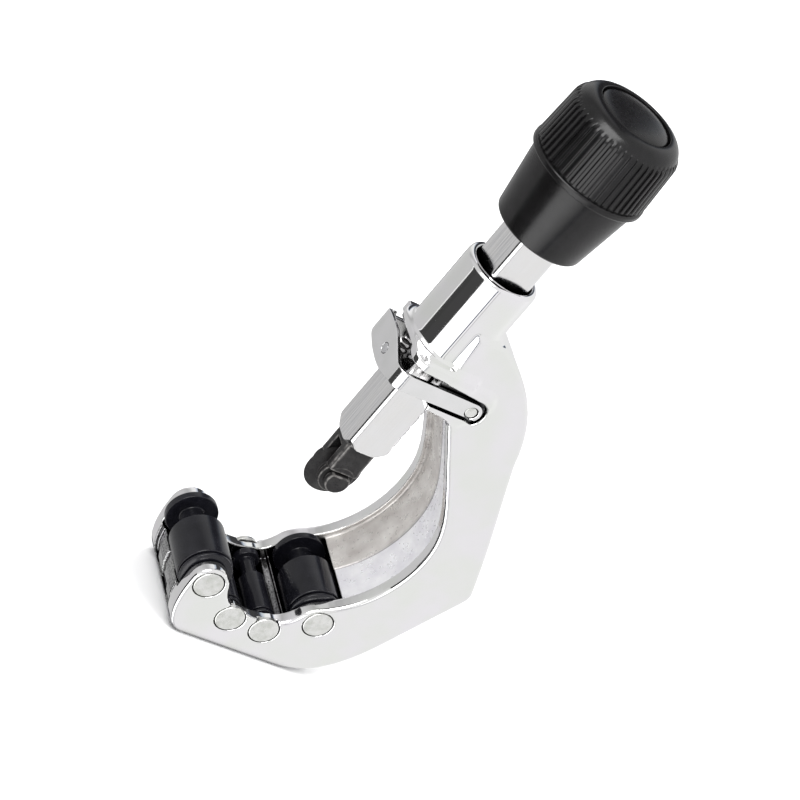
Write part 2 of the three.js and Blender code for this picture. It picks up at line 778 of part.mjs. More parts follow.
const knob = new THREE.Group();
knob.add(part("feed_screw", feedScrew(), "blackOxide"));
knob.add(part("screw_retaining_ring", retainingRing(), "spring"));
knob.add(part("knob_sleeve", knobSleeve(), "blackPlastic"));
knob.add(part("knob_grip", knobGrip(), "blackPlastic"));
knob.add(part("knob_nut", knobNut(), "steel"));
knob.add(part("knob_cap", knobCap(), "capPlastic"));
knob.add(part("spare_cutter_wheel", spareCutterWheel(), "steel", [0, 0, spareWheelHeight]));

const axle = [0, 0, wheelAxle];
const fork = new THREE.Group();
fork.add(part("cutter_fork", cutterFork(), "blackOxide"));
fork.add(part("cutter_wheel", cutterWheel(), "blackOxide", axle));
fork.add(part("wheel_pin", wheelPin(), "blackOxide", axle));
fork.add(part("wheel_pin_clip", wheelPinClip(), "spring", axle));

slide.add(knob, fork);
frame.add(slide);

export default frame;
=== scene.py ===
import itertools
import json
import math

import bmesh
import bpy
import numpy as np
from mathutils import Matrix, Vector


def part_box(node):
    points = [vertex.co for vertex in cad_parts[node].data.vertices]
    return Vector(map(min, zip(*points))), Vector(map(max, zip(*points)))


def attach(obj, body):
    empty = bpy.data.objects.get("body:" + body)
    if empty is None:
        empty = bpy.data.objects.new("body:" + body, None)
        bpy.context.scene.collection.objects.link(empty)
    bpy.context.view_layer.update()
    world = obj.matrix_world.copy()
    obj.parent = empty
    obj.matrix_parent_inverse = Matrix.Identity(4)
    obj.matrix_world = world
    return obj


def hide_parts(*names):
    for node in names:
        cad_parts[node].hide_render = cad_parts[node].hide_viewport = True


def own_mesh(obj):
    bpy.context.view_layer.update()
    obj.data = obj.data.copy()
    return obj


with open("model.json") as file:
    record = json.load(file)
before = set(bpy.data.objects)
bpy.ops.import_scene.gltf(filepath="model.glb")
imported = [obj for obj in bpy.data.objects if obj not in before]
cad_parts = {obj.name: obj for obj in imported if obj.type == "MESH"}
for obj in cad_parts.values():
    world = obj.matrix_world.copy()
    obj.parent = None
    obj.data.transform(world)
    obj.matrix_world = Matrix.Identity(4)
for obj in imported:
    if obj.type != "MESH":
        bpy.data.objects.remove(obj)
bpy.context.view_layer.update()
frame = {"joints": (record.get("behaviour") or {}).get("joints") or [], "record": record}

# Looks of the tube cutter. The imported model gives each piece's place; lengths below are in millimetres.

MM = 0.001


def box_mm(node):
    """A CAD node's lowest and highest corners, in millimetres."""
    low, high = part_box(node)
    return np.array(low) / MM, np.array(high) / MM


def axis_mm(joint):
    """The (x, z) of a joint's axis, in millimetres."""
    place = next(j for j in frame["joints"] if j["name"] == joint)["pos_m"]
    return place[0] / MM, place[2] / MM


FRAME_HIGH = box_mm("frame")[1]
CHEEK = FRAME_HIGH[1]  # half width over the cheeks
CHEEK_WALL = 4.4
CRADLE_HALF = 13.9  # half width between the cheeks, where the rollers turn
COLLAR_FLAT = 11.1  # half width over the collar's flats
FLANGE = (116.2, 118.4)
COLLAR_TOP = FRAME_HIGH[2]
SLIDE_LOW, SLIDE_HIGH = box_mm("slide_bar")
SLIDE = SLIDE_HIGH[1]
FORK_HIGH = box_mm("cutter_fork")[1]
LATCH_X, LATCH_Z = axis_mm("latch_pivot")
LATCH_BORE = 2.15
RACK_FOOT = 76.4  # height of the lowest notch
RACK_PITCH = 4.7
WHEEL_Z = axis_mm("cutter_wheel_spin")[1]
STATIONS = ("nose_outer", "nose_inner", "spine_inner", "spine_outer")


# ---- signed-distance shapes ----


class Field:
    """Sample points, in millimetres, over the box of a CAD node."""

    def __init__(self, node, step, margin=1.0):
        low, high = box_mm(node)
        self.step = step
        self.low = low - margin
        counts = np.ceil((high - low + 2 * margin) / step).astype(int) + 1
        lines = [self.low[i] + step * np.arange(counts[i]) for i in range(3)]
        grid = np.meshgrid(*lines, indexing="ij", sparse=True)
        self.x, self.y, self.z = (line.astype(np.float32) for line in grid)


def both(a, b, r=0.0):
    """Where two shapes overlap, with edges of radius r."""
    if not np.any(r):
        return np.maximum(a, b)
    u = np.maximum(r + a, 0)
    v = np.maximum(r + b, 0)
    return np.minimum(-r, np.maximum(a, b)) + np.sqrt(u * u + v * v)


def either(a, b, r=0.0):
    """Two shapes together, with a fillet of radius r."""
    return -both(-a, -b, r)


def without(a, b, r=0.0):
    """The first shape with the second cut out of it."""
    return both(a, -b, r)


def slab(values, low, high):
    return np.abs(values - (low + high) / 2) - (high - low) / 2


def disc(u, v, cu, cv, radius):
    return np.sqrt((u - cu) ** 2 + (v - cv) ** 2) - radius


def rounded_rectangle(u, v, u_low, u_high, v_low, v_high, radius):
    du = slab(u, u_low, u_high) + radius
    dv = slab(v, v_low, v_high) + radius
    outside = np.sqrt(np.maximum(du, 0) ** 2 + np.maximum(dv, 0) ** 2)
    return outside + np.minimum(np.maximum(du, dv), 0) - radius


def path(start, *steps, count=14):
    """Points along an outline. A step is an end point, or control points and then an end point."""
    points = [np.array(start, float)]
    for step in steps:
        if not isinstance(step[0], tuple):
            points.append(np.array(step, float))
            continue
        ends = [points[-1]] + [np.array(p, float) for p in step]
        degree = len(ends) - 1
        for t in np.linspace(0, 1, count + 1)[1:]:
            terms = (math.comb(degree, k) * t**k * (1 - t) ** (degree - k) * p for k, p in enumerate(ends))
            points.append(sum(terms))
    return points


def arc(x, z, radius, start, end, count=14):
    """Points round a centre, between two angles in degrees."""
    turns = np.radians(np.linspace(start, end, count))
    return [np.array((x + radius * math.cos(t), z + radius * math.sin(t))) for t in turns]


def polygon(points, u, v):
    """Signed distance to a closed outline, on the plane of two coordinates."""
    u, v = np.broadcast_arrays(u, v)
    nearest = np.full(u.shape, np.inf, np.float32)
    inside = np.zeros(u.shape, bool)
    for (au, av), (bu, bv) in zip(points, points[1:] + points[:1]):
        eu, ev = bu - au, bv - av
        length = eu * eu + ev * ev
        if length < 1e-9:
            continue
        pu, pv = u - au, v - av
        t = np.clip((pu * eu + pv * ev) / length, 0, 1)
        nearest = np.minimum(nearest, (pu - t * eu) ** 2 + (pv - t * ev) ** 2)
        if abs(ev) > 1e-9:
            inside ^= ((av > v) != (bv > v)) & (u < eu * (v - av) / ev + au)
    return (np.where(inside, -1, 1) * np.sqrt(nearest)).astype(np.float32)


def sample(values, field, points):
    """The field's value at each point, between its samples."""
    place = (points - field.low) / field.step
    place = np.clip(place, 0, np.array(values.shape) - 1.001)
    base = place.astype(int)
    share = place - base
    total = np.zeros(len(points))
    for corner in itertools.product((0, 1), repeat=3):
        weight = np.prod(np.where(corner, share, 1 - share), axis=1)
        i, j, k = (base + corner).T
        total += weight * values[i, j, k]
    return total


def slope(values, field, points):
    """The unit direction in which the field grows."""
    reach = field.step * 0.6
    steps = np.eye(3) * reach
    rise = [sample(values, field, points + s) - sample(values, field, points - s) for s in steps]
    direction = np.stack(rise, axis=1)
    return direction / np.maximum(np.linalg.norm(direction, axis=1), 1e-9)[:, None]


def surface(values, field):
    """Vertices and quads of the zero surface, one vertex to each cell that the surface crosses."""
    shape = np.array(values.shape) - 1
    corners = list(itertools.product((0, 1), repeat=3))
    part = {c: values[tuple(slice(c[i], shape[i] + c[i]) for i in range(3))] for c in corners}
    count = sum((part[c] < 0).astype(np.int8) for c in corners)
    cells = np.argwhere((count > 0) & (count < 8))
    index = np.full(shape, -1, np.int64)
    index[tuple(cells.T)] = np.arange(len(cells))
    total = np.zeros((len(cells), 3))
    hits = np.zeros(len(cells))
    at = {c: part[c][tuple(cells.T)].astype(float) for c in corners}
    for a, b in itertools.combinations(corners, 2):
        if sum(abs(p - q) for p, q in zip(a, b)) != 1:
            continue
        crossed = (at[a] < 0) != (at[b] < 0)
        share = at[a][crossed] / (at[a][crossed] - at[b][crossed])
        total[crossed] += np.array(a) + share[:, None] * (np.array(b) - np.array(a))
        hits[crossed] += 1
    vertices = field.low + field.step * (cells + total / hits[:, None])
    quads = []
    for axis in range(3):
        one, two = (axis + 1) % 3, (axis + 2) % 3
        step = np.eye(3, dtype=int)
        inner = [slice(1, n) for n in shape]
        inner[axis] = slice(0, shape[axis])
        here = values[tuple(inner)]
        ahead_slices = list(inner)
        ahead_slices[axis] = slice(1, shape[axis] + 1)
        ahead = values[tuple(ahead_slices)]
        origin = np.ones(3, int)
        origin[axis] = 0
        for leaving in (True, False):
            found = (here < 0) & (ahead >= 0) if leaving else (here >= 0) & (ahead < 0)
            edge = np.argwhere(found) + origin
            ring = [edge - step[one] - step[two], edge - step[two], edge, edge - step[one]]
            quad = np.stack([index[tuple(cell.T)] for cell in ring], axis=1)
            quads.append(quad if leaving else quad[:, ::-1])
    return vertices, np.concatenate(quads)


def add_mesh(name, vertices, faces):
    mesh = bpy.data.meshes.new(name)
    mesh.from_pydata((np.asarray(vertices) * MM).tolist(), [], [list(map(int, f)) for f in faces])
    mesh.polygons.foreach_set("use_smooth", [True] * len(mesh.polygons))
    mesh.update()
    piece = bpy.data.objects.new(name, mesh)
    bpy.context.scene.collection.objects.link(piece)
    return piece


def skin(name, values, field, keep=1.0):
    """The mesh of a signed-distance shape, thinned to a share of its faces, with the shape's own normals."""
    values = np.ascontiguousarray(values, dtype=np.float32)
    vertices, quads = surface(values, field)
    for _ in range(3):
        vertices -= slope(values, field, vertices) * sample(values, field, vertices)[:, None]
    piece = add_mesh(name, vertices, quads)
    if keep < 1:
        thin = piece.modifiers.new("thin", "DECIMATE")
        thin.ratio = keep
        bpy.context.view_layer.update()
        thinned = bpy.data.meshes.new_from_object(piece.evaluated_get(bpy.context.evaluated_depsgraph_get()))
        piece.modifiers.clear()
        piece.data = thinned
    mesh = piece.data
    places = unfold(mesh, values, field)
    # Outer-edge mask, used for edge wear and a painted highlight along the edges.
    add_attribute(piece, "edge_wear_and_highlight", edge_sharpness(values, field, places))
    mesh.normals_split_custom_set_from_vertices(slope(values, field, places).tolist())
    return piece


def read(collection, name, width, kind=float):
    """A mesh collection's values as rows of the given width."""
    rows = np.zeros(len(collection) * width, kind)
    collection.foreach_get(name, rows)
    return rows.reshape(-1, width)


def unfold(mesh, values, field):
    """Eases out the folded faces that thinning leaves, and gives the vertices in millimetres."""
    places = read(mesh.vertices, "co", 3) / MM
    mesh.calc_loop_triangles()
    triangles = read(mesh.loop_triangles, "vertices", 3, np.int32)
    edges = read(mesh.edges, "vertices", 2, np.int32)
    ends = np.concatenate((edges, edges[:, ::-1]))
    degree = np.maximum(np.bincount(ends[:, 0], minlength=len(places)), 1)
    for _ in range(8):
        a, b, c = (places[triangles[:, i]] for i in range(3))
        normal = np.cross(b - a, c - a)
        size = np.maximum(np.linalg.norm(normal, axis=1), 1e-9)
        facing = np.sum(normal * slope(values, field, (a + b + c) / 3), axis=1) / size
        loose = np.unique(triangles[facing < 0.5])
        if not len(loose):
            break
        for axis in range(3):
            total = np.bincount(ends[:, 0], weights=places[ends[:, 1], axis], minlength=len(places))
            places[loose, axis] = (total / degree)[loose]
        places[loose] -= slope(values, field, places[loose]) * sample(values, field, places[loose])[:, None]
    mesh.vertices.foreach_set("co", (places * MM).ravel())
    mesh.update()
    return places


def edge_sharpness(values, field, points):
    """How strongly the surface bends outwards: 0 on flats, 1 along small outer edges."""
    reach = 0.9 * field.step
    steps = np.eye(3) * reach
    around = sum(sample(values, field, points + s) + sample(values, field, points - s) for s in steps)
    bend = (around - 6 * sample(values, field, points)) / reach**2
    return np.clip((bend - 0.4) / 1.6, 0, 1)


def add_attribute(piece, name, shares):
    attribute = piece.data.attributes.new(name, "FLOAT", "POINT")
    attribute.data.foreach_set("value", np.ascontiguousarray(shares, dtype=np.float32))


# ---- turned shapes ----


def rounded_profile(profile, closed, arc_steps=5):
    """(radius, height, corner radius) points with each corner turned into an arc."""
    points = []
    count = len(profile)
    for i, (r, t, corner) in enumerate(profile):
        here = np.array((r, t), float)
        if corner <= 0 or (not closed and i in (0, count - 1)):
            points.append(here)
            continue
        before = np.array(profile[i - 1][:2], float) - here
        after = np.array(profile[(i + 1) % count][:2], float) - here
        reach = min(corner, 0.48 * np.linalg.norm(before), 0.48 * np.linalg.norm(after))
        start = here + before / np.linalg.norm(before) * reach
        end = here + after / np.linalg.norm(after) * reach
        for s in np.linspace(0, 1, arc_steps + 1):
            points.append((1 - s) ** 2 * start + 2 * s * (1 - s) * here + s * s * end)
    return points


def turned(name, profile, along="Z", centre=(0.0, 0.0), closed=False, segments=128, ripple=None):
    """A turned piece. ripple(radius, height, angle) may move each point in or out."""
    points = rounded_profile(profile, closed)
    angles = np.linspace(0, 2 * math.pi, segments, endpoint=False)
    vertices, rings = [], []
    for r, t in points:
        first = len(vertices)
        on_axis = r < 1e-6
        for angle in angles[:1] if on_axis else angles:
            radius = ripple(r, t, angle) if ripple else r
            u, v = radius * math.cos(angle), radius * math.sin(angle)
            u, v = centre[0] + u, centre[1] + v
            vertices.append((u, v, t) if along == "Z" else (u, t, v))
        rings.append((first, on_axis))
    faces = []
    pairs = list(zip(rings, rings[1:] + rings[:1])) if closed else list(zip(rings, rings[1:]))
    for (a, a_axis), (b, b_axis) in pairs:
        for i in range(segments):
            j = (i + 1) % segments
            near = [a] if a_axis else [a + i, a + j]
            far = [b] if b_axis else [b + j, b + i]
            face = near + far
            if len(face) > 2:
                faces.append(face)
    piece = add_mesh(name, vertices, faces)
    bm_normals_out(piece)
    piece.data.set_sharp_from_angle(angle=math.radians(38))
    return piece


def bm_normals_out(piece):
    bm = bmesh.new()
    bm.from_mesh(piece.data)
    bmesh.ops.recalc_face_normals(bm, faces=bm.faces)
    bm.to_mesh(piece.data)
    bm.free()
    piece.data.polygons.foreach_set("use_smooth", [True] * len(piece.data.polygons))


# ---- materials ----


class Look:
    """A Principled material with helpers for noise in object space."""

    def __init__(self, name, color, metallic, roughness):
        self.material = bpy.data.materials.new(name)
        self.material.use_nodes = True
        self.nodes = self.material.node_tree.nodes
        self.link = self.material.node_tree.links.new
        self.shader = self.nodes["Principled BSDF"]
        self.shader.inputs["Base Color"].default_value = (*color, 1)
        self.shader.inputs["Metallic"].default_value = metallic
        self.shader.inputs["Roughness"].default_value = roughness
        self.coordinates = self.nodes.new("ShaderNodeTexCoord")

    def noise(self, size_mm, detail=3.0, stretch=(1, 1, 1)):
        """Noise with features of about size_mm, drawn out along an axis by stretch."""
        scale = self.nodes.new("ShaderNodeMapping")
        scale.inputs["Scale"].default_value = [1 / (size_mm * MM * s) for s in stretch]
        self.link(self.coordinates.outputs["Object"], scale.inputs["Vector"])
        texture = self.nodes.new("ShaderNodeTexNoise")
        texture.inputs["Scale"].default_value = 1
        texture.inputs["Detail"].default_value = detail
        self.link(scale.outputs["Vector"], texture.inputs["Vector"])
        return texture.outputs["Fac"]

    def between(self, value, low, high, low_at=0.35, high_at=0.65):
        spread = self.nodes.new("ShaderNodeMapRange")
        spread.inputs["From Min"].default_value = low_at
        spread.inputs["From Max"].default_value = high_at
        spread.inputs["To Min"].default_value = low
        spread.inputs["To Max"].default_value = high
        self.link(value, spread.inputs["Value"])
        return spread.outputs["Result"]

    def vary_roughness(self, value, low, high):
        self.link(self.between(value, low, high), self.shader.inputs["Roughness"])

    def math(self, operation, one, two):
        node = self.nodes.new("ShaderNodeMath")
        node.operation = operation
        for socket, value in zip(node.inputs, (one, two)):
            if isinstance(value, (int, float)):
                socket.default_value = value
            else:
                self.link(value, socket)
        return node.outputs[0]

    def mix(self, share, one, two):
        """Two colours mixed. Each is a socket or an (r, g, b)."""
        node = self.nodes.new("ShaderNodeMix")
        node.data_type = "RGBA"
        for socket, value in ((node.inputs["A"], one), (node.inputs["B"], two)):
            if isinstance(value, tuple):
                socket.default_value = (*value, 1)
            else:
                self.link(value, socket)
        self.link(share, node.inputs["Factor"])
        return node.outputs["Result"]

    def vary_color(self, value, one, two, low_at=0.35, high_at=0.65):
        self.color(self.mix(self.between(value, 0, 1, low_at, high_at), one, two))

    def color(self, source):
        self.link(source, self.shader.inputs["Base Color"])

    def tint(self, share, color):
        """Moves the present colour towards another one."""
        present = self.shader.inputs["Base Color"].links[0].from_socket
        self.color(self.mix(share, present, color))

    def across(self, kind, axis):
        """One axis of the object's own coordinates, or of its normal."""
        split = self.nodes.new("ShaderNodeSeparateXYZ")
        self.link(self.coordinates.outputs[kind], split.inputs[0])
        return split.outputs[axis]

    def attribute(self, name):
        node = self.nodes.new("ShaderNodeAttribute")
        node.attribute_name = name
        return node.outputs["Fac"]

    def paint_crevice_shade(self, reach_mm, color, low_at=0.2, high_at=0.6):
        """Painted shade where other metal stands close by: the colour darkens with ambient occlusion."""
        shade = self.nodes.new("ShaderNodeAmbientOcclusion")
        shade.samples = 16
        shade.inputs["Distance"].default_value = reach_mm * MM
        self.tint(self.between(shade.outputs["AO"], 1, 0, low_at, high_at), color)

    def bump(self, value, height_mm, strength=1.0):
        bump = self.nodes.new("ShaderNodeBump")
        bump.inputs["Distance"].default_value = height_mm * MM
        bump.inputs["Strength"].default_value = strength
        self.link(value, bump.inputs["Height"])
        self.link(bump.outputs["Normal"], self.shader.inputs["Normal"])
        return bump


def chrome_look():
    """Polished chrome. "cast" marks the satin casting skin, "far" its warmer half; a third attribute marks
    the unlit slots, which get painted shade.
    """
    look = Look("chrome_plate", (0.94, 0.94, 0.95), 1, 0.1)
    cast, far = look.attribute("cast"), look.attribute("far")
    look.vary_color(look.noise(11, 2), (0.955, 0.94, 0.965), (0.925, 0.935, 0.91))
    patches = look.between(look.noise(6, 4), 0, 1, 0.3, 0.7)
    near_half = look.mix(patches, (0.68, 0.67, 0.71), (0.84, 0.84, 0.85))
    far_half = look.mix(patches, (0.46, 0.43, 0.41), (0.7, 0.68, 0.65))
    look.tint(cast, look.mix(far, near_half, far_half))
    seam = look.math("ABSOLUTE", look.math("SUBTRACT", look.across("Object", "Y"), 0.1 * MM), 0)
    seam = look.between(seam, 0.75, 0, 0.04 * MM, 0.26 * MM)
    look.tint(look.math("MULTIPLY", seam, cast), (0.2, 0.18, 0.17))
    # Painted shade: the chrome darkens where other metal stands close by.
    look.paint_crevice_shade(6.5, (0.012, 0.013, 0.018), 0.32, 0.7)
    # Painted shade: the unlit slots go near-black, speckled by noise.
    scale = look.between(look.noise(0.5, 5), 0.6, 1.0, 0.45, 0.7)
    look.tint(look.math("MULTIPLY", look.attribute("painted_slot_shade"), scale), (0.016, 0.016, 0.018))
    polished = look.between(look.noise(5, 4), 0.04, 0.09)
    satin = look.between(look.noise(1.4, 3), 0.2, 0.32)
    look.link(look.math("ADD", polished, look.math("MULTIPLY", cast, satin)), look.shader.inputs["Roughness"])
    look.link(look.between(cast, 1.0, 0.45, 0, 1), look.shader.inputs["Metallic"])
    grain = look.math("MULTIPLY", look.noise(1.7, 2), look.math("ADD", cast, 0.03))
    look.bump(grain, 0.05, 0.8)
    return look.material


def latch_look():
    look = Look("latch_plate", (0.82, 0.82, 0.83), 1, 0.2)
    look.vary_color(look.noise(6, 3), (0.92, 0.915, 0.925), (0.87, 0.87, 0.87))
    # Painted shade where other metal stands close by.
    look.paint_crevice_shade(5.0, (0.015, 0.015, 0.017), 0.25, 0.62)
    look.vary_roughness(look.noise(1.2, 4), 0.09, 0.17)
    look.bump(look.noise(0.5, 3), 0.003, 0.4)
    return look.material


def slide_look():
    """Drawn bar: smooth on the wide faces that are seen from +Y and -Y, with drawing lines on the others."""
    look = Look("slide_brushed", (0.84, 0.84, 0.85), 1, 0.24)
    brush = look.noise(0.3, 4, stretch=(1, 1, 70))
    side = look.between(look.math("ABSOLUTE", look.across("Normal", "X"), 0), 0.12, 1.0, 0.5, 0.8)
    lines = look.math("MULTIPLY", look.between(brush, 0, 1, 0.4, 0.66), side)
    look.color(look.mix(lines, (0.93, 0.925, 0.93), (0.7, 0.7, 0.72)))
    look.tint(look.between(look.noise(5, 3), 0, 0.35), (0.9, 0.885, 0.86))
    # Painted shade where other metal stands close by.
    look.paint_crevice_shade(6.0, (0.02, 0.019, 0.018), 0.3, 0.74)
    look.vary_roughness(look.noise(0.9, 4), 0.12, 0.2)
    look.bump(look.math("MULTIPLY", brush, side), 0.007, 0.6)
    return look.material


def rivet_look():
    look = Look("rivet_peened", (0.8, 0.8, 0.78), 1, 0.34)
    look.vary_color(look.noise(2.2, 4), (0.9, 0.9, 0.88), (0.74, 0.75, 0.71), 0.4, 0.66)
    look.vary_roughness(look.noise(0.8, 4), 0.26, 0.42)
    look.bump(look.noise(1.3, 3), 0.04, 0.5)
    return look.material


def roller_look():
    look = Look("roller_black", (0.006, 0.006, 0.008), 0.0, 0.2)
    look.vary_color(look.noise(5, 3), (0.004, 0.004, 0.006), (0.008, 0.008, 0.011))
    look.vary_roughness(look.noise(0.5, 4), 0.15, 0.26)
    look.bump(look.noise(0.3, 3, stretch=(1, 8, 1)), 0.003, 0.5)
    look.shader.inputs["Specular IOR Level"].default_value = 0.4
    return look.material


def oxide_look():
    """Black oxide with paler edges, partly wear and partly a painted highlight along the outer edges."""
    look = Look("black_oxide", (0.03, 0.029, 0.029), 0.3, 0.32)
    look.vary_color(look.noise(2.5, 3), (0.017, 0.016, 0.0165), (0.027, 0.026, 0.026))
    # Paler outer edges: partly wear, partly a painted highlight.
    worn_and_lit = look.math("MULTIPLY", look.attribute("edge_wear_and_highlight"), look.between(look.noise(1.5, 3), 0.1, 0.8))
    look.tint(worn_and_lit, (0.26, 0.25, 0.24))
    # Painted shade where other metal stands close by.
    look.paint_crevice_shade(2.0, (0.004, 0.004, 0.004), 0.15, 0.55)
    look.vary_roughness(look.noise(0.4, 4), 0.26, 0.38)
    look.bump(look.noise(0.25, 3), 0.004, 0.4)
    look.shader.inputs["Specular IOR Level"].default_value = 0.3
    return look.material


def plastic_look(name, grain_mm, roughness, grain_height, specular):
    look = Look(name, (0.005, 0.005, 0.005), 0, roughness)
    look.vary_color(look.noise(4, 3), (0.0035, 0.0033, 0.0035), (0.006, 0.0057, 0.0062))
    look.vary_roughness(look.noise(grain_mm * 2, 4), roughness - 0.03, roughness + 0.04)
    look.bump(look.noise(grain_mm, 2), grain_height, 0.6)
    look.shader.inputs["Specular IOR Level"].default_value = specular
    return look.material


def plain_steel_look(name, color, roughness):
    look = Look(name, color, 1, roughness)
    darker = tuple(0.8 * c for c in color)
    look.vary_color(look.noise(3, 4), color, darker)
    # Painted shade where other metal stands close by.
    look.paint_crevice_shade(6.0, tuple(0.02 * c for c in color), 0.35, 0.85)
    look.vary_roughness(look.noise(0.6, 4), roughness - 0.06, roughness + 0.1)
    look.bump(look.noise(0.3, 3), 0.006, 0.5)
    return look.material


LOOKS = {
    "frame_chrome": chrome_look(),
    "latch_chrome": latch_look(),
    "slide_steel": slide_look(),
    "rivet_steel": rivet_look(),
    "roller_black": roller_look(),
    "fork_black": oxide_look(),
    "screw_black": oxide_look(),
    "inner_steel": plain_steel_look("plain_steel", (0.8, 0.8, 0.82), 0.22),
    "bush_bronze": plain_steel_look("bronze", (0.62, 0.46, 0.25), 0.36),
    "knob_plastic": plastic_look("knob_satin", 0.32, 0.22, 0.014, 0.4),
    "cap_plastic": plastic_look("cap_gloss", 0.5, 0.27, 0.001, 0.36),
}
SLOTS = {s["node"]: s["material_slot"] for s in frame["record"]["subparts"]}
BODIES = {node: body for body, nodes in frame["record"]["behaviour"]["bodies"].items() for node in nodes}


def place(piece, node, finish=None):
    """Makes a piece stand for its CAD node: same body, same finish unless another one is given."""
    piece.data.materials.clear()
    piece.data.materials.append(finish or LOOKS[SLOTS[node]])
    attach(piece, BODIES[node])
    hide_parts(node)
    return piece


# ---- frame ----


def throat_steps():
    """The throat from its upper corner down to the roller cradle."""
    return (
        (22.9, 82.3),
        ((29.5, 72.5), (34.1, 66), (34.1, 54.8)),
        ((34.1, 41.5), (27, 30.2), (17.7, 25.4)),
    )


def frame_outline():
    cradle = ((14.4, 23.6), (13.2, 21)), ((10.6, 15.2), (6.5, 15)), ((3, 13.8), (0, 13.8))
    other = ((-3, 13.8), (-6.5, 15)), ((-10.6, 15.2), (-13.2, 21)), ((-13.9, 23), (-15.8, 24.3))
    points = path(
        (-17.5, 0), (18, 0), ((33.4, 0), (44, 21.7)), (55.9, 45.5), ((57.3, 48.3), (56.6, 50)),
        (38.8, 96), ((33.5, 118.5), (11, 129.5)), (0.8, 129.5), (0.8, 103.6), (4.5, 103.4),
        ((9.2, 102.6), (11.8, 98.4)), *throat_steps(), *cradle, *other,
    )
    nose_x, nose_z = axis_mm("roller_nose_outer_spin")
    tangent = math.degrees(0.81)  # where the cradle's edge meets the round nose
    points += arc(nose_x, nose_z, 6.1, tangent, 180)
    return points + path((-26.1, 19.9), ((-26.1, 9), (-22.6, 3.6)), ((-20.3, 0), (-17.5, 0)))[1:-1]


def half_width(z):
    """Half the frame's width, full at the rollers and drawn in towards the collar."""
    heights = [-5, 58, 68, 78, 90, 104, 116, 128, 136]
    widths = [CHEEK, CHEEK, 17.8, 16.6, 15.2, 14, 13, 11.8, COLLAR_FLAT]
    fine = np.arange(-5, 160, 0.5)
    kernel = np.hanning(25)
    padded = np.pad(np.interp(fine, heights, widths), 12, mode="edge")
    return np.interp(z, fine, np.convolve(padded, kernel / kernel.sum(), mode="valid")).astype(np.float32)


def collar_shape(f):
    radial = disc(f.x, f.y, 0, 0, 12)
    tube = both(both(radial, slab(f.y, -COLLAR_FLAT, COLLAR_FLAT), 0.45), slab(f.z, 114, COLLAR_TOP), 1.6)
    plan = path((9, -14.2), (9, 11.8), (-5.8, 11.8))
    plan += arc(-5.8, 4.8, 7, 90, 180) + arc(-8.3, -9.7, 4.5, 180, 270)
    front = path(
        (-14.2, 114.1), ((-10.6, 114.2), (-3, FLANGE[0])), (20, FLANGE[0]), (20, FLANGE[1]), (-5, FLANGE[1]),
        ((-9, FLANGE[1]), (-14.2, 116.4)), (-20, 116.4), (-20, 114.1),
    )
    flange = both(polygon(plan, f.x, f.y), polygon(front, f.y, f.z), 0.7)
    return either(tube, flange, 1.6)


def island_outline():
    points = path((0.8, 102), (13, 101), (17, 105.6))
    points += arc(14.4, 110.7, 4.5, -29, 90)
    return points + path((5.7, 115.1), (0.7, 116.6), (-5.7, 117.4), (-9, 117.4), (-9, 112.8), (0.8, 112.8))


def recess_outline():
    points = [np.array((-25.0, 103.7)), np.array((LATCH_X, 103.7))]
    return points + arc(LATCH_X, LATCH_Z, 4.6, -57, 77) + path((-12, 114), (-25, 114))


def nose_shape(f):
    """The recess in the nose, with two low bands left standing in it."""
    def hollow(depth):
        edge = path(
            (-40, 1.5), (-20.6 + depth, 1.5), (-22.6 + depth, 3.6), (-24.2 + depth, 6.9),
            (-25.2 + depth, 11), (-25.6 + depth, 14), (-40, 14),
        )
        return polygon(edge, f.x, f.z)

    bands = np.minimum(slab(f.y, -10, -5), slab(f.y, 3, 9))
    deep = both(hollow(1.6), -bands, 0.15)
    return both(np.minimum(deep, hollow(0.8)), slab(f.y, -12.6, 12.6), 0.5)


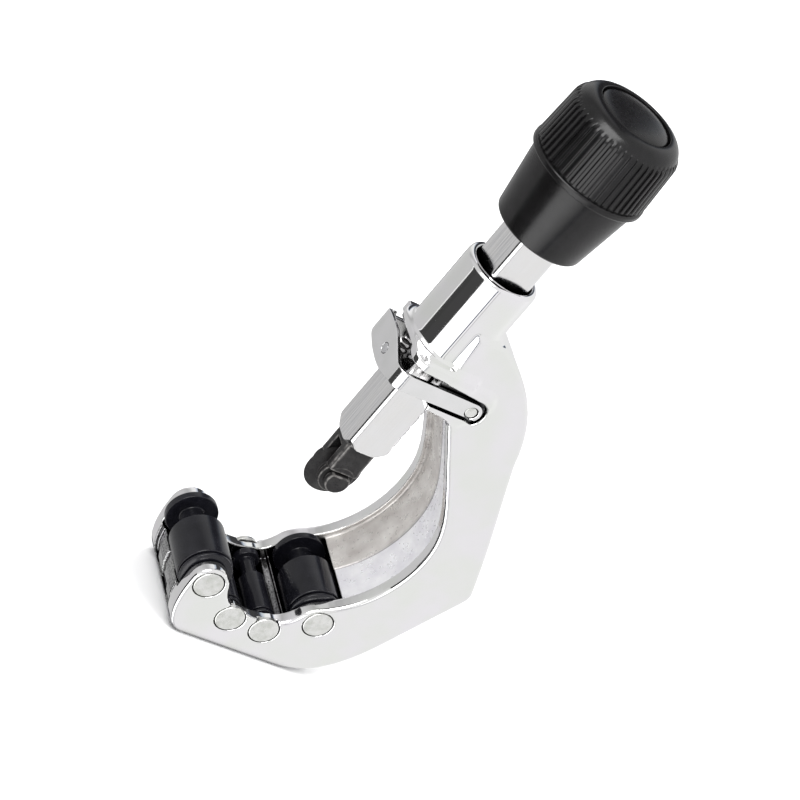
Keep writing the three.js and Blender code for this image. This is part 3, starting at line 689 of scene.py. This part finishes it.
def frame_shape(f):
    """The casting, the space whose walls are left as cast, and the slots whose walls get painted shade."""
    side = polygon(frame_outline(), f.x, f.z)
    width = half_width(f.z)
    body = both(side, np.abs(f.y) - width, 1.2)
    body = either(body, collar_shape(f), 2.2)
    island = both(polygon(island_outline(), f.x, f.z), slab(f.y, -14.2, 14.2), 0.9)
    body = either(body, island, 1.2)

    inner = np.abs(f.y) - (width - CHEEK_WALL)
    throat = path((2, 101), (6, 104.3), (9.5, 104), (20, 100), (29, 86), (36, 74), (40.5, 55), (36, 36),
                  (25, 21), (15, 23.5), (2, 40))
    # The floor is a little higher on the far side of the mould's parting line.
    depth = 2.25 - 0.4 * np.clip((f.y - 0.2) / 0.2, 0, 1)
    channel = both(polygon(throat, f.x, f.z), -(side + depth))
    channel = both(channel, inner, 0.9)
    body = without(body, channel, 0.45)
    cradle = path((-16, 32), (-12.6, 13), (-3, 8.5), (3, 8.5), (12.6, 13), (16, 32))
    bay = both(polygon(cradle, f.x, f.z), slab(f.y, -CRADLE_HALF, CRADLE_HALF))
    body = without(body, bay, 0.4)
    for station in STATIONS:
        x, z = axis_mm(f"roller_{station}_spin")
        radius = box_mm(f"roller_{station}")[1][2] - z
        bay = both(disc(f.x, f.z, x, z, radius + 0.7), slab(f.y, -CRADLE_HALF, CRADLE_HALF), 0.3)
        body = without(body, bay, 0.3)

    nose = nose_shape(f)
    body = without(body, nose, 0.3)

    wall = 6.5  # between the throat and the pockets in the spine
    pocket = path(
        (31, 88), (22.9 + 0.83 * wall, 82.3 + 0.56 * wall),
        ((29.5 + 0.87 * wall, 72.5 + 0.5 * wall), (34.1 + wall, 66), (34.1 + wall, 54.8)),
        ((34.1 + wall, 38), (33.6, 30)), (33.6, 10), (75, 10), (75, 50), (50, 88),
    )
    hollow = both(polygon(pocket, f.x, f.z), inner, 1.6)
    for z in (34, 54, 72):
        hollow = both(hollow, -slab(f.z, z - 1.2, z + 1.2), 1.2)
    body = without(body, hollow, 0.4)

    bay = path((-16, 96), (8, 96), (9.4, 102.3), (20.5, 102.3), (20.5, 113), (14, 119), (-2, 119),
               (-2, FLANGE[0]), (-16, FLANGE[0]))
    body = without(body, both(polygon(bay, f.x, f.z), slab(f.y, -7.5, 7.5), 0.4), 0.4)
    body = without(body, both(disc(f.x, f.y, 0, 0, 9.65), slab(f.z, 110, 160)), 0.5)
    recess = polygon(recess_outline(), f.x, f.z)
    body = without(body, both(recess, 12.15 - np.abs(f.y), 0.3), 0.55)
    body = without(body, disc(f.x, f.z, LATCH_X, LATCH_Z, LATCH_BORE), 0.2)
    for station in STATIONS:
        x, z = axis_mm(f"roller_{station}_spin")
        seat = both(disc(f.x, f.z, x, z, 4.9), 16.6 - np.abs(f.y))
        body = without(body, seat, 0.2)
    # Slots whose walls get painted shade: the cradle bay, the latch recess behind the arm, and the nose
    # recess.
    slots = both(polygon(cradle, f.x, f.z), slab(f.y, -CRADLE_HALF, CRADLE_HALF))
    slots = np.minimum(slots, both(both(recess, 11.5 - np.abs(f.y)), LATCH_Z - f.z))
    return body, np.minimum(channel, hollow), np.minimum(slots, nose)


def make_frame():
    field = Field("frame", 0.4)
    body, cast, slots = frame_shape(field)
    piece = skin("frame_casting", body, field, keep=0.4)
    points = read(piece.data.vertices, "co", 3) / MM
    add_attribute(piece, "cast", np.clip((0.4 - sample(cast, field, points)) / 0.3, 0, 1))
    # Painted shade: near-black over the unlit slots.
    add_attribute(piece, "painted_slot_shade", np.clip((0.45 - sample(slots, field, points)) / 0.3, 0, 1))
    add_attribute(piece, "far", np.clip((points[:, 1] - 0.1) / 0.3, 0, 1))
    place(piece, "frame")


# ---- slide and its screw ----


def make_slide():
    f = Field("slide_bar", 0.28)
    low, high = SLIDE_LOW[2], SLIDE_HIGH[2]
    corner = (np.abs(f.x) + np.abs(f.y) - (2 * SLIDE - 0.9)) / math.sqrt(2)
    bar = both(both(np.abs(f.x) - SLIDE, np.abs(f.y) - SLIDE), corner, 0.3)
    bar = both(bar, slab(f.z, low, high), 0.3)
    slant = math.atan2(2.5, 3.4)
    cone = (disc(f.x, f.y, 0, 0, 7.4) - (f.z - low) * math.tan(slant)) * math.cos(slant)
    bar = both(bar, cone, 0.2)
    for i in range(15):
        z = RACK_FOOT + RACK_PITCH * i
        notch = path((SLIDE - 1, z - 0.25), (SLIDE + 1, z - 2), (SLIDE + 1, z + 0.75))
        bar = without(bar, polygon(notch, f.x, f.z), 0.1)
    hollow = both(np.maximum(np.abs(f.x), np.abs(f.y)) - 5.5, f.z - 165)
    hollow = np.minimum(hollow, both(disc(f.x, f.y, 0, 0, 6.2), 160 - f.z))
    place(skin("slide_square_bar", without(bar, hollow, 0.25), f, keep=0.5), "slide_bar")


def make_screw():
    place(turned("feed_screw_shaft", [
        (0, 92, 0), (4, 92, 0.6), (4, 162, 0.1), (4.5, 162, 0.2), (4.5, 164, 0.1), (3.9, 164, 0.05),
        (3.9, 165.6, 0.05), (4.5, 165.6, 0.1), (4.5, 182.7, 0.1), (7, 182.7, 0.3), (7, 185.2, 0.3),
        (5, 185.2, 0.1), (5, 186.7, 0.2), (3, 186.7, 0.1), (3, 196.3, 0.4), (0, 196.3, 0),
    ], segments=72), "feed_screw")
    place(turned("screw_bush", [
        (4.8, 166, 0.2), (5.9, 166, 0.2), (5.9, 181.3, 0.1), (7.6, 181.3, 0.2), (7.6, 182.1, 0.2),
        (4.8, 182.1, 0.2),
    ], closed=True, segments=72), "slide_end_bush")


# ---- knob ----


def make_knob():
    place(turned("knob_skirt", [
        (12.6, 163.4, 0.3), (13.2, 162.8, 0.3), (13.8, 162.8, 0.5), (14.4, 163.4, 0.5), (17.5, 185.2, 0.3),
        (15.6, 185.2, 0.2), (15.6, 193, 0.3), (13.4, 193, 0.3), (13.4, 191, 0.2), (3.3, 191, 0.2),
        (3.3, 187, 0.2), (12.6, 187, 0.5),
    ], closed=True, segments=160), "knob_sleeve")

    foot, top, rib_low, rib_high, ribs = 18.1, 17.4, 187.9, 202.8, 52

    def wall(height):
        return foot + (top - foot) * (height - rib_low) / (rib_high - rib_low)

    def ribbed(radius, height, angle):
        if radius < 14 or not rib_low - 0.1 < height < rib_high + 3:
            return radius
        rise = 0.65 * min(1, max(0, 0.5 + 1.9 * math.cos(ribs * angle)))
        start = min(1, max(0, (height - rib_low) / 0.4))
        fade = min(1, max(0, (rib_high + 2.4 - height) / 2.2))
        return radius + rise * math.sqrt(start) * math.sqrt(fade)

    profile = [(15.9, 185.5, 0), (18.6, 185.5, 0.4), (19, 185.9, 0.4), (19, 187.4, 0.5), (foot, 187.8, 0)]
    profile += [(wall(z), z, 0) for z in np.linspace(rib_low, rib_high, 30)]
    for turn in np.linspace(0, math.pi / 2, 24)[1:]:
        profile.append((top - 5.1 * (1 - math.cos(turn)), rib_high + 5.7 * math.sin(turn), 0))
    profile += [
        (11.9, 208.5, 0.6), (11.9, 203.4, 0.2), (10.4, 203.4, 0.2), (10.4, 201.6, 0), (14.7, 201.6, 0),
        (15.9, 199, 0),
    ]
    inner = {(15.9, 185.5), (15.9, 199), (14.7, 201.6)}

    def grip(radius, height, angle):
        return radius if (round(radius, 3), round(height, 3)) in inner else ribbed(radius, height, angle)

    place(turned("knob_ribbed_grip", profile, closed=True, segments=ribs * 14, ripple=grip), "knob_grip")

    dome = [(11.4 * math.cos(t), 207.6 + 1.9 * math.sin(t), 0) for t in np.linspace(0.15, math.pi / 2, 16)]
    dome[-1] = (0, dome[-1][1], 0)
    place(turned("knob_end_cap", [
        (0, 201.9, 0), (10.1, 201.9, 0.2), (10.1, 203.7, 0.1), (11.4, 203.7, 0.2), (11.4, 207.6, 0.4), *dome,
    ], segments=128), "knob_cap")


# ---- rollers ----


def make_rollers():
    for station in STATIONS:
        x, z = axis_mm(f"roller_{station}_spin")
        high = box_mm(f"roller_{station}")[1]
        radius, end = high[2] - z, high[1]
        large = radius > 6
        flange, neck, bore = (8.1, 3.8, 2.9) if large else (4.1, 2.4, 1.9)
        edge = 0.45 if large else 0.3
        place(turned(f"roller_{station}_turned", [
            (bore, -end, 0.2), (flange, -end, edge), (flange, 0.9 - end, 0.2),
            (radius - 1.2, 0.9 - end, 0.15), (radius - 1.2, 1.6 - end, 0.15), (radius, 1.6 - end, edge),
            (radius, 3.4, edge), (neck, 3.4, 0.4),
            (neck, 11.3, 0.4), (flange, 11.3, 0.3), (flange, end, edge), (bore, end, 0.2),
        ], along="Y", centre=(x, z), closed=True), f"roller_{station}")
        shaft = bore - 0.3
        place(turned(f"roller_pin_{station}_rivet", [
            (0, -CHEEK, 0), (4.6, -CHEEK, 0.5), (4.6, 1.4 - CHEEK, 0.1), (shaft, 1.4 - CHEEK, 0.1),
            (shaft, CHEEK - 1.4, 0.1), (4.6, CHEEK - 1.4, 0.1), (4.6, CHEEK, 0.5), (0, CHEEK, 0),
        ], along="Y", centre=(x, z), segments=72), f"roller_pin_{station}")


# ---- cutter ----


def make_cutter():
    f = Field("cutter_fork", 0.2)
    half = FORK_HIGH[1]
    corner = (np.abs(f.x) + np.abs(f.y) - (2 * half - 0.7)) / math.sqrt(2)
    shank = both(both(np.abs(f.x) - half, np.abs(f.y) - half), corner, 0.2)
    shank = both(shank, slab(f.z, WHEEL_Z + 3, FORK_HIGH[2]), 0.2)
    end = both(disc(f.x, f.z, 0, WHEEL_Z, half + 0.2), np.abs(f.y) - half, 0.35)
    fork = either(shank, end, 0.5)
    slot = both(np.abs(f.y) - 2.1, f.z - (WHEEL_Z + 10.6))
    fork = without(fork, slot, 0.25)
    fork = without(fork, both(f.y + 3.9, f.z - (WHEEL_Z + 3.1)), 0.2)
    fork = without(fork, disc(f.x, f.z, 0, WHEEL_Z, 2.3), 0.15)
    fork = without(fork, both(disc(f.x, f.y, 0, 0, 4.3), 84 - f.z), 0.15)
    place(skin("cutter_fork_forged", fork, f, keep=0.5), "cutter_fork")

    f = Field("wheel_pin", 0.12)
    head = both(disc(f.x, f.z, 0, WHEEL_Z, 3.8), f.z - (WHEEL_Z + 2.5), 0.3)
    head = both(head, slab(f.y, -6.3, -4.1), 0.45)
    shaft = both(disc(f.x, f.z, 0, WHEEL_Z, 2), slab(f.y, -4.6, 7.2), 0.3)
    place(skin("wheel_pin_d_head", np.minimum(head, shaft), f, keep=0.5), "wheel_pin")

    wheel = [(2.3, -1.8, 0.1), (4.6, -1.8, 0.3), (5, -0.9, 0.2), (8.9, 0, 0.05),
             (5, 0.9, 0.2), (4.6, 1.8, 0.3), (2.3, 1.8, 0.1)]
    place(turned("cutter_wheel_ground", wheel, along="Y", centre=(0, WHEEL_Z), closed=True), "cutter_wheel")
    spare = [(r, t + 198.7, c) for r, t, c in wheel]
    place(turned("spare_wheel_ground", spare, closed=True), "spare_cutter_wheel")


# ---- latch ----


def make_latch():
    f = Field("latch_bail", 0.2)
    outer = rounded_rectangle(f.x, f.y, -14.3, 60, -14, 14, 4.2)
    inner = rounded_rectangle(f.x, f.y, -12.7, 80, -12.4, 12.4, 2.6)
    side = path((-20, 101), (-10.5, 101), (-9.5, 104.8), (LATCH_X, LATCH_Z - 3.4))
    side += arc(LATCH_X, LATCH_Z, 3.4, -90, 83) + path((-9.5, 110.8), (-10.5, 114), (-20, 114))
    front = path(
        (-16, 104.8), (-9.4, 104.5), ((-5.5, 102.5), (0, 102), (5.5, 102.9)), ((9.5, 103.7), (12.4, 105)),
        (16, 105), (16, 110.9), (15, 110.9), (12.6, 112.9), ((9, 114.5), (3.5, 114.6), (-1, 113.1)),
        ((-5, 111.8), (-9, 110.6)), (-16, 110.8),
    )
    face = both(polygon(side, f.x, f.z), polygon(front, f.y, f.z), 0.4)
    bail = both(without(outer, inner), face, 0.35)
    bail = without(bail, disc(f.x, f.z, LATCH_X, LATCH_Z, LATCH_BORE), 0.15)
    bail = without(bail, both(disc(f.y, f.z, 0, 107.6, 1.7), f.x + 10), 0.04)
    place(skin("latch_bent_bail", bail, f, keep=0.5), "latch_bail")

    end = box_mm("latch_pin")[1][1]
    place(turned("latch_pivot_pin", [
        (0, -end, 0), (1.85, -end, 0.35), (1.85, end, 0.35), (0, end, 0),
    ], along="Y", centre=(LATCH_X, LATCH_Z), segments=64), "latch_pin")

    f = Field("latch_spring_bracket", 0.12)
    upright = both(slab(f.x, -12.4, -11.6), both(slab(f.y, -3, 3), slab(f.z, 104.2, 109.8), 0.5), 0.15)
    shelf = both(slab(f.x, -12.4, -7.9), both(slab(f.y, -3, 3), slab(f.z, 104.2, 105), 0.15), 0.15)
    rivet = both(disc(f.y, f.z, 0, 107.6, 1.6), slab(f.x, -14.3, -12), 0.08)
    bracket = np.minimum(either(upright, shelf, 0.4), rivet)
    place(skin("latch_bracket_pressed", bracket, f, keep=0.6), "latch_spring_bracket")

    f = Field("latch_pawl", 0.2)
    groove = RACK_FOOT + 8 * RACK_PITCH
    outline = arc(LATCH_X, LATCH_Z, 4.2, -90, 34) + path(
        (14.5, 113.6), (12, groove + 1.4), (7.5, groove - 0.1), (6.65, groove - 0.45),
        (7.5, groove - 1.6), (9.6, 107), (10.4, 104.6))
    pawl = both(polygon(outline, f.x, f.z), slab(f.y, -6.6, 6.6), 0.3)
    pawl = without(pawl, disc(f.x, f.z, LATCH_X, LATCH_Z, LATCH_BORE), 0.15)
    place(skin("latch_pawl_tooth", pawl, f, keep=0.5), "latch_pawl")


def coil(name, centre, radius, wire, low, high, turns, per_turn=40, around=14):
    """A closed coil of round wire."""
    steps = turns * per_turn
    vertices, faces = [], []
    for i in range(steps + 1):
        angle = 2 * math.pi * turns * i / steps
        out = np.array((math.cos(angle), math.sin(angle), 0))
        middle = np.array((centre[0], centre[1], low + (high - low) * i / steps)) + radius * out
        for k in range(around):
            turn = 2 * math.pi * k / around
            vertices.append(middle + wire * (math.cos(turn) * out + math.sin(turn) * np.array((0, 0, 1))))
    for i in range(steps):
        for k in range(around):
            a, b = i * around + k, i * around + (k + 1) % around
            faces.append((a, b, b + around, a + around))
    faces.append(list(range(around)))
    faces.append(list(range(steps * around, (steps + 1) * around)))
    piece = add_mesh(name, vertices, faces)
    bm_normals_out(piece)
    piece.data.set_sharp_from_angle(angle=math.radians(50))
    return piece


def make_springs_and_rings():
    spring = coil("latch_return_spring", (-9.6, 0), 1.6, 0.35, 105.7, 115.3, 5)
    # Painted shade: the spring takes the dark black-oxide finish instead of its own steel one, because it
    # sits in the shaded gap between the latch plate and the flange.
    place(spring, "latch_spring", LOOKS["fork_black"])
    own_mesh(spring)

    f = Field("screw_retaining_ring", 0.12)
    ring = without(disc(f.x, f.y, 0, 0, 5.2), disc(f.x, f.y, 0, 0, 4.2))
    ring = both(ring, slab(f.z, 164.3, 165.3), 0.15)
    ring = without(ring, both(slab(f.x, 0, 9), slab(f.y, -1.2, 1.2)), 0.15)
    place(skin("screw_snap_ring", ring, f), "screw_retaining_ring")

    f = Field("wheel_pin_clip", 0.1)
    clip = without(disc(f.x, f.z, 0, WHEEL_Z, 3.8), disc(f.x, f.z, 0, WHEEL_Z, 2.3))
    clip = both(clip, slab(f.y, 5.6, 6.4), 0.15)
    clip = without(clip, both(slab(f.x, -1, 1), WHEEL_Z - f.z), 0.15)
    place(skin("wheel_pin_snap_clip", clip, f), "wheel_pin_clip")

    f = Field("knob_nut", 0.15)
    across = 5.6 * math.cos(math.pi / 6)
    flats = [f.x * math.cos(t) + f.y * math.sin(t) - across for t in np.radians(range(30, 390, 60))]
    hexagon = flats[0]
    for flat in flats[1:]:
        hexagon = np.maximum(hexagon, flat)
    nut = both(hexagon, slab(f.z, 192.5, 196.3), 0.5)
    place(skin("knob_hex_nut", without(nut, disc(f.x, f.y, 0, 0, 3.3), 0.2), f, keep=0.5), "knob_nut")


# ---- stage ----


def make_floor():
    size = 6.0
    mesh = bpy.data.meshes.new("floor")
    corners = [(-size, -size, 0), (size, -size, 0), (size, size, 0), (-size, size, 0)]
    mesh.from_pydata(corners, [], [(0, 1, 2, 3)])
    floor = bpy.data.objects.new("floor", mesh)
    floor.location.z = -0.0005
    bpy.context.scene.collection.objects.link(floor)
    look = Look("pale_floor", (0.93, 0.93, 0.93), 0, 0.9)
    look.vary_color(look.noise(120, 2), (0.94, 0.94, 0.94), (0.92, 0.92, 0.92))
    mesh.materials.append(look.material)
    floor.visible_glossy = False


def panel_ring(nodes, link, bearing, stops):
    """A ring of panels: (bearing in degrees, (r, g, b)) stops, from -X towards -Y."""
    panels = nodes.new("ShaderNodeValToRGB")
    places = sorted((degrees % 360 / 360, color) for degrees, color in stops)
    ramp = panels.color_ramp.elements
    while len(ramp) < len(places):
        ramp.new(0.5)
    for element, (position, color) in zip(ramp, places):
        element.position = position
        element.color = (*color, 1)
    link(bearing, panels.inputs["Fac"])
    return panels.outputs["Color"]


def grey(value, blue=1.0):
    return (value, value, value * blue)


def make_world():
    """A white tent. Metal sees grey, charcoal and white panels that stand at set directions round it."""
    world = bpy.data.worlds.new("tent")
    bpy.context.scene.world = world
    world.use_nodes = True
    nodes, link = world.node_tree.nodes, world.node_tree.links.new

    def step(operation, one, two=0.0):
        node = nodes.new("ShaderNodeMath")
        node.operation = operation
        for socket, value in zip(node.inputs, (one, two)):
            if isinstance(value, (int, float)):
                socket.default_value = value
            else:
                link(value, socket)
        return node.outputs[0]

    split = nodes.new("ShaderNodeSeparateXYZ")
    link(nodes.new("ShaderNodeNewGeometry").outputs["Incoming"], split.inputs[0])
    # Incoming points back along the ray, so its angle is measured from -X of the ray's own direction.
    angle = step("ARCTAN2", split.outputs["Y"], split.outputs["X"])
    bearing = step("FRACT", step("ADD", step("DIVIDE", angle, 2 * math.pi), 1.0))
    level = panel_ring(nodes, link, bearing, [
        (-123, grey(0.75)), (-121, grey(0.06, 1.3)), (-111, grey(0.06, 1.3)), (-108, grey(0.62)),
        (-60, grey(0.56)), (-19, grey(0.56)), (-18, grey(1.1)), (-16.2, grey(1.1)), (-15.5, grey(0.05)),
        (31.5, grey(0.055)), (32.5, grey(1.6)), (40, grey(2.8)), (62, grey(2.8)), (90.5, grey(1.1)),
        (91.5, (0.05, 0.07, 0.11)), (98, (0.08, 0.1, 0.14)), (99, grey(0.95)), (109, grey(0.9)),
        (110, grey(0.5)), (113, grey(0.5)), (115, grey(0.82)), (140, grey(0.86)), (180, grey(0.9)),
        (232, grey(0.8)),
    ])
    above = panel_ring(nodes, link, bearing, [
        (-126, grey(0.05)), (-113, grey(0.04, 1.2)), (-111, (0.4, 0.46, 0.55)), (-104, grey(0.9)),
        (-88, grey(0.8)), (-62, grey(0.42)), (-40, grey(0.62)), (0, grey(0.8)), (120, grey(0.85)),
        (215, grey(0.85)), (226, grey(0.85)), (229, (0.4, 0.46, 0.55)), (231, grey(0.04, 1.2)),
    ])
    upward = step("GREATER_THAN", step("MULTIPLY", split.outputs["Z"], -1.0), 0.08)
    seen = nodes.new("ShaderNodeMix")
    seen.data_type = "RGBA"
    link(upward, seen.inputs["Factor"])
    link(level, seen.inputs["A"])
    link(above, seen.inputs["B"])
    background = nodes["Background"]
    link(seen.outputs["Result"], background.inputs["Color"])
    background.inputs["Strength"].default_value = 1.0

    plain = nodes.new("ShaderNodeBackground")
    plain.inputs["Color"].default_value = (0.97, 0.97, 0.98, 1)
    plain.inputs["Strength"].default_value = 0.95
    rays = nodes.new("ShaderNodeLightPath")
    mix = nodes.new("ShaderNodeMixShader")
    link(rays.outputs["Is Glossy Ray"], mix.inputs["Fac"])
    link(plain.outputs[0], mix.inputs[1])
    link(background.outputs[0], mix.inputs[2])
    link(mix.outputs[0], nodes["World Output"].inputs["Surface"])


def make_light(name, bearing, height, distance, size, watts, mirrored):
    data = bpy.data.lights.new(name, "AREA")
    data.size = size
    data.energy = watts
    light = bpy.data.objects.new(name, data)
    aim = Vector((0.01, 0, 0.1))
    turn = math.radians(bearing)
    light.location = aim + distance * Vector((math.cos(turn), math.sin(turn), height))
    light.rotation_euler = (aim - light.location).to_track_quat("-Z", "Y").to_euler()
    light.visible_glossy = mirrored
    bpy.context.scene.collection.objects.link(light)


def make_camera():
    """The viewing angle: the feed axis leans to the right, seen from the front left and above."""
    data = bpy.data.cameras.new("camera")
    data.lens = 168.3
    data.sensor_width = 36
    data.clip_start = 0.01
    camera = bpy.data.objects.new("camera", data)
    aim, distance = Vector((0.00195, 0, 0.0931)), 1.08657
    bearing, tilt, roll = map(math.radians, (-126.2035, 27.2316, 40.7469))
    back = Vector((math.cos(tilt) * math.cos(bearing), math.cos(tilt) * math.sin(bearing), math.sin(tilt)))
    level = Vector((-math.sin(bearing), math.cos(bearing), 0))
    right = math.cos(roll) * level + math.sin(roll) * back.cross(level)
    turn = Matrix((right, back.cross(right), back)).transposed().to_4x4()
    camera.matrix_world = Matrix.Translation(aim + distance * back) @ turn
    bpy.context.scene.collection.objects.link(camera)
    bpy.context.scene.camera = camera


make_frame()
make_slide()
make_screw()
make_knob()
make_rollers()
make_cutter()
make_latch()
make_springs_and_rings()
make_floor()
make_world()
make_light("key", bearing=-150, height=1.1, distance=0.9, size=0.9, watts=13, mirrored=True)
make_light("fill", bearing=-60, height=0.7, distance=1.0, size=0.8, watts=8, mirrored=False)
make_light("rim", bearing=60, height=1.0, distance=1.0, size=0.5, watts=8, mirrored=False)
make_camera()
bpy.context.scene.view_settings.view_transform = "Standard"
